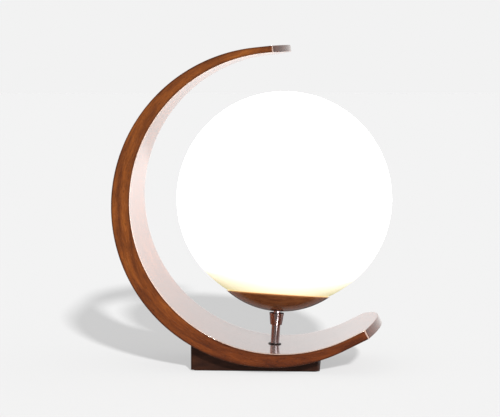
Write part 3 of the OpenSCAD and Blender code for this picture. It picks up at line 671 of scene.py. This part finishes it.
def bandMarks(where):
    # rim: distance to the nearest long edge, on the front and back, for the painted shade line; highlightReach:
    # distance to an inner edge, and next to none on the upright corners, for the painted highlight; endGrainAndShade:
    # how open the grain is on the two end faces alone, its upper end's share raised as painted shade
    length, rise, depth = bandGrain(where).T
    inFrom = np.minimum(rise, bandThickness(length) - rise)
    bow = bandBow(np.clip(depth, -bandHalf, bandHalf))
    toEnd = np.minimum(length + band["topRun"] + bow, bandArc + band["rightRun"] + bow - length)
    inset = bandHalf - np.abs(depth)
    atTop = length < bandArc / 2
    # the part of an upright corner that carries the painted highlight
    paintedHighlight = band["highlightShare"] * band["cornerR"]
    onCorner = (toEnd < paintedHighlight) & (inset < paintedHighlight)
    cornerHighlight = np.where(atTop, band["topHighlight"], 0.0)
    endTintShare = np.where(atTop, 1.0, band["rightEndTintShare"])
    return {"rim": np.hypot(inFrom, band["edgeTurn"] * inset),
            "highlightReach": np.where(onCorner, cornerHighlight, np.maximum(rise, 0.0) + band["highlightTurn"] * inset),
            "endGrainAndShade": np.where(toEnd < band["sawnShare"] * band["cornerR"], endTintShare, 0.0)}


def makeBand(b):
    # the section is carried along the band, and at both ends it draws in round the corners, by a quarter turn's
    # cosine along and sine across, to meet the end faces
    edge, corner = b["edgeR"], b["cornerR"]
    turn = np.linspace(0.0, math.pi / 2, b["cornerSteps"] + 1)
    start = corner / bandArc * (1 - np.cos(turn))
    middle = np.linspace(corner / bandArc, 1 - corner / bandArc, b["stations"] + 1)[1:-1]
    share = np.concatenate([start, middle, 1 - start[::-1]])[:, None]
    full = np.concatenate([np.sin(turn), np.ones(middle.size), np.sin(turn)[::-1]])[:, None]
    narrow = 1 - (corner - edge) * (1 - full) / (bandHalf - edge)
    depth, depthN, base, riseN = roundedLoop(bandHalf, edge, b["acrossDepth"], b["acrossRise"], b["edgeSteps"])
    skin = bandPoint(share, depth * narrow + edge * depthN * full, base + 0 * share, edge * riseN * full)
    across = np.linspace(-bandHalf + corner, bandHalf - corner, b["acrossDepth"] + 1)[:, None]
    up = np.linspace(0.0, 1.0, b["acrossRise"] + 1)[None, :]
    caps = [bandPoint(end, across + 0 * up, up + 0 * across, 0 * across * up) for end in (0.0, 1.0)]
    piece = buildPiece("crescentBand", [(skin, True), (caps[0], False), (caps[1], False)], bandGrain, bandMarks)
    return dress(piece, "crescent_arc", "walnut", "base")


makeBand(band)
print("crescent band")


# Turned pieces

def arcPoints(centre, radius, first, last, steps):
    # a run of an arc in the (radius, height) plane: the centre plus the radius times the cosine and the sine of even
    # steps of angle, in radians from the outward direction
    angle = np.linspace(first, last, steps + 1)
    return np.stack([centre[0] + radius * np.cos(angle), centre[1] + radius * np.sin(angle)], axis=-1)


def turned(profile, origin, axis, steps, closed):
    # a profile of (radius, height) points carried round an axis: the origin, plus each radius along the turning
    # outward direction, plus each height along the axis; the profile closes on itself where asked
    axis = axis / np.linalg.norm(axis)
    across = np.cross(axis, sideAxis)
    along = np.cross(across, axis)
    angle = np.linspace(0, 2 * math.pi, steps, endpoint=False)[:, None, None]
    outward = np.cos(angle) * along + np.sin(angle) * across
    grid = origin + profile[None, :, :1] * outward + profile[None, :, 1:] * axis
    if closed:
        grid = np.concatenate([grid, grid[:, :1]], axis=1)
    return np.concatenate([grid, grid[:1]], axis=0)


def headCoordinates(where):
    # along the tilt axis, across it, and up the head's axis from the globe's centre, each as a dot product
    across = np.cross(headAxis, sideAxis)
    return (where - globeCentre) @ np.stack([sideAxis, across, headAxis], axis=-1)


cup = {
    "rimR": 0.0482,
    "rimDrop": 0.0885,
    "drop": 0.105,
    "seatR": 0.1003,
    "seatInnerR": 0.031,
    "floorR": 0.016,
    "floorT": 0.005,
    "boreR": 0.00415,
    "boreFootR": 0.00515,
    "boreFootH": 0.0013,
    "rimEdge": 0.0004,
    "rimStart": -0.3,  # where the rim's rounding takes over from the outer face, in radians
    "round": 160,
    "outerSteps": 40,
    "rimSteps": 6,
    "seatSteps": 16,
}


def cupMarks(where):
    # rim: how far below the cup's rim
    return {"rim": -cup["rimDrop"] - headCoordinates(where)[:, 2]}


def makeCup(c):
    # the outer face is a ball's cap, the seat is a zone of the globe's ball, and the rest are flats and cones
    curveR = (c["rimR"] ** 2 + (c["drop"] - c["rimDrop"]) ** 2) / (2 * (c["drop"] - c["rimDrop"]))
    curveZ = curveR - c["drop"]
    footAngle = -math.acos(c["boreFootR"] / curveR)
    rimAngle = -math.acos(c["rimR"] / curveR)
    outer = arcPoints((0, curveZ), curveR, footAngle, rimAngle - c["rimEdge"] / curveR, c["outerSteps"])
    rimCentre = (c["rimR"] - c["rimEdge"], -c["rimDrop"] - c["rimEdge"])
    rim = arcPoints(rimCentre, c["rimEdge"], c["rimStart"], math.pi / 2, c["rimSteps"])
    seatTop = -math.acos(math.sqrt(c["seatR"] ** 2 - c["rimDrop"] ** 2) / c["seatR"])
    seatFoot = -math.acos(c["seatInnerR"] / c["seatR"])
    seat = arcPoints((0, 0), c["seatR"], seatTop, seatFoot, c["seatSteps"])
    floorZ = -c["drop"] + c["floorT"]
    bottomZ = curveZ + curveR * math.sin(footAngle)
    inside = np.array([
        (c["floorR"], floorZ),
        (c["boreR"], floorZ),
        (c["boreR"], bottomZ + c["boreFootH"]),
        (c["boreFootR"], bottomZ + c["boreFootH"]),
    ])
    profile = np.concatenate([outer, rim, seat, inside])
    grid = turned(profile, globeCentre, headAxis, c["round"], True)
    piece = buildPiece("turnedCup", [(grid, False)], headCoordinates, cupMarks)
    return dress(piece, "cup", "cupWalnut", "head")


makeCup(cup)
print("cup")

globe = {
    "outerR": 0.1,
    "wall": 0.0022,
    "holeR": 0.033,
    "round": 192,
    "arcSteps": 120,
    "lipSteps": 10,
}


def makeGlobe(g):
    # two balls one wall apart, joined round the opening by a fire-polished lip: half a circle as wide as the wall
    inner = g["outerR"] - g["wall"]
    middle = g["outerR"] - g["wall"] / 2
    lipR = g["wall"] / 2
    lipAngle = -math.acos((g["holeR"] + lipR) / middle)
    lipCentre = (middle * math.cos(lipAngle), middle * math.sin(lipAngle))
    outside = arcPoints((0, 0), g["outerR"], math.pi / 2, lipAngle, g["arcSteps"])
    lip = arcPoints(lipCentre, lipR, lipAngle, lipAngle - math.pi, g["lipSteps"])[1:-1]
    inside = arcPoints((0, 0), inner, lipAngle, math.pi / 2, g["arcSteps"])
    profile = np.concatenate([outside, lip, inside])
    profile[[0, -1], 0] = 0.0  # both poles lie on the axis
    grid = turned(profile, globeCentre, headAxis, g["round"], False)
    piece = buildPiece("opalGlobe", [(grid, False)], headCoordinates)
    return dress(piece, "globe", "opal_glass", "globe_shell")


lampGlobe = makeGlobe(globe)
lampGlobe.light_linking.receiver_collection = floorApart
print("globe")
